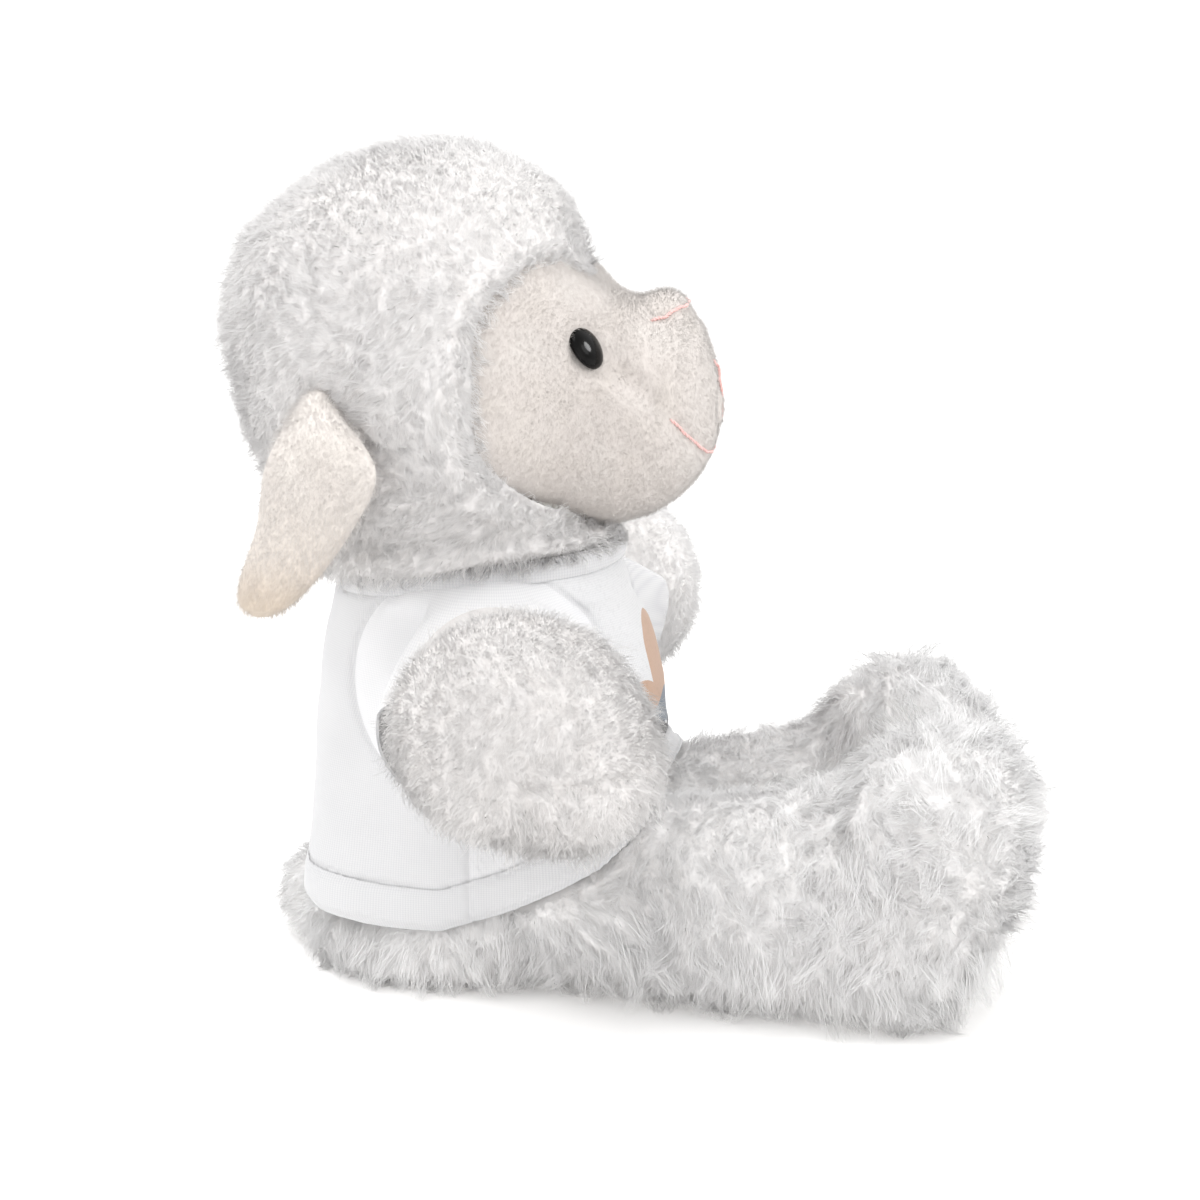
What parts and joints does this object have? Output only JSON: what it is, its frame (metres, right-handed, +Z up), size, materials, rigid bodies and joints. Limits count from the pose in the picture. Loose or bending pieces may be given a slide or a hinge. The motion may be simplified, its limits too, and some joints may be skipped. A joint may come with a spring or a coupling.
{
  "type": "plush lamb in t-shirt",
  "caption": "Seated white plush lamb with an ivory face, drooping ears and outstretched arms, wearing a short-sleeved white t-shirt; sewn roots let the head, limbs, ears and tail bend.",
  "frame": {"origin": "on the floor, under the centre of the box round the seated lamb", "axes": "+Z up, the lamb faces -Y and its left side is +X"},
  "size_m": [0.1812, 0.1924, 0.1985],
  "materials": {
    "white_wool": "curly white wool-look plush",
    "ivory_plush": "smooth short-pile ivory plush",
    "tee_jersey": "fine white cotton jersey",
    "fibre_filling": "loose polyester fibre",
    "pellet_pouch": "woven pouch of plastic pellets",
    "eye": "glossy black",
    "eye_washer": "natural nylon",
    "pink_thread": "pink embroidery thread",
    "seam_thread": "white heavy thread"
  },
  "bodies": {
    "torso": {"pellet_pouch": "pellet_pouch", "seat_panel": "white_wool", "tee_back_panel": "tee_jersey", "tee_collar_band": "tee_jersey", "tee_front_panel": "tee_jersey", "tee_hem_band": "tee_jersey", "torso_back_panel": "white_wool", "torso_filling": "fibre_filling", "torso_front_panel": "white_wool"},
    "neck": {"neck_gather_ring": "seam_thread"},
    "head": {"face_left_panel": "ivory_plush", "face_right_panel": "ivory_plush", "head_crown_gusset": "white_wool", "head_filling": "fibre_filling", "head_left_panel": "white_wool", "head_right_panel": "white_wool", "left_eye": "eye", "left_eye_washer": "eye_washer", "left_mouth_stitch": "pink_thread", "left_nose_stitch": "pink_thread", "muzzle_panel": "ivory_plush", "philtrum_stitch": "pink_thread", "right_eye": "eye", "right_eye_washer": "eye_washer", "right_mouth_stitch": "pink_thread", "right_nose_stitch": "pink_thread"},
    "left_ear": {"left_ear_inner": "ivory_plush", "left_ear_outer": "ivory_plush"},
    "right_ear": {"right_ear_inner": "ivory_plush", "right_ear_outer": "ivory_plush"},
    "left_arm": {"left_arm_filling": "fibre_filling", "left_arm_top_panel": "white_wool", "left_arm_under_panel": "white_wool", "left_sleeve": "tee_jersey"},
    "right_arm": {"right_arm_filling": "fibre_filling", "right_arm_top_panel": "white_wool", "right_arm_under_panel": "white_wool", "right_sleeve": "tee_jersey"},
    "left_leg": {"left_leg_filling": "fibre_filling", "left_leg_inner_panel": "white_wool", "left_leg_outer_panel": "white_wool"},
    "right_leg": {"right_leg_filling": "fibre_filling", "right_leg_inner_panel": "white_wool", "right_leg_outer_panel": "white_wool"},
    "tail": {"tail_filling": "fibre_filling", "tail_under_panel": "white_wool", "tail_upper_panel": "white_wool"}
  },
  "joints": [
    {"name": "neck_turn", "type": "hinge", "parent": "torso", "child": "neck", "pos_m": [0, 0.038, 0.0985], "axis": [0, 0, 1], "range_deg": [-20, 20], "stiffness_Nm_per_rad": 0.3},
    {"name": "head_nod", "type": "hinge", "parent": "neck", "child": "head", "pos_m": [0, 0.038, 0.118], "axis": [1, 0, 0], "range_deg": [-12, 5], "stiffness_Nm_per_rad": 0.3},
    {"name": "left_shoulder", "type": "hinge", "parent": "torso", "child": "left_arm", "pos_m": [0.038, 0.029, 0.077], "axis": [0, -1, 0], "range_deg": [-23, 24], "stiffness_Nm_per_rad": 0.08},
    {"name": "right_shoulder", "type": "hinge", "parent": "torso", "child": "right_arm", "pos_m": [-0.038, 0.029, 0.077], "axis": [0, 1, 0], "range_deg": [-12, 35], "stiffness_Nm_per_rad": 0.08},
    {"name": "left_hip", "type": "hinge", "parent": "torso", "child": "left_leg", "pos_m": [0.0203, 0.012, 0.0223], "axis": [1, 0, 0], "range_deg": [-6, 35], "stiffness_Nm_per_rad": 0.15},
    {"name": "right_hip", "type": "hinge", "parent": "torso", "child": "right_leg", "pos_m": [-0.0203, 0.012, 0.0223], "axis": [1, 0, 0], "range_deg": [-6, 35], "stiffness_Nm_per_rad": 0.15},
    {"name": "left_ear_root", "type": "hinge", "parent": "head", "child": "left_ear", "pos_m": [0.0456, 0.0672, 0.1445], "axis": [0, -1, 0], "range_deg": [-5, 45], "stiffness_Nm_per_rad": 0.012},
    {"name": "right_ear_root", "type": "hinge", "parent": "head", "child": "right_ear", "pos_m": [-0.0456, 0.0672, 0.1445], "axis": [0, 1, 0], "range_deg": [-5, 45], "stiffness_Nm_per_rad": 0.012},
    {"name": "tail_root", "type": "hinge", "parent": "torso", "child": "tail", "pos_m": [0, 0.0735, 0.016], "axis": [1, 0, 0], "range_deg": [-6, 30], "stiffness_Nm_per_rad": 0.012}
  ]
}
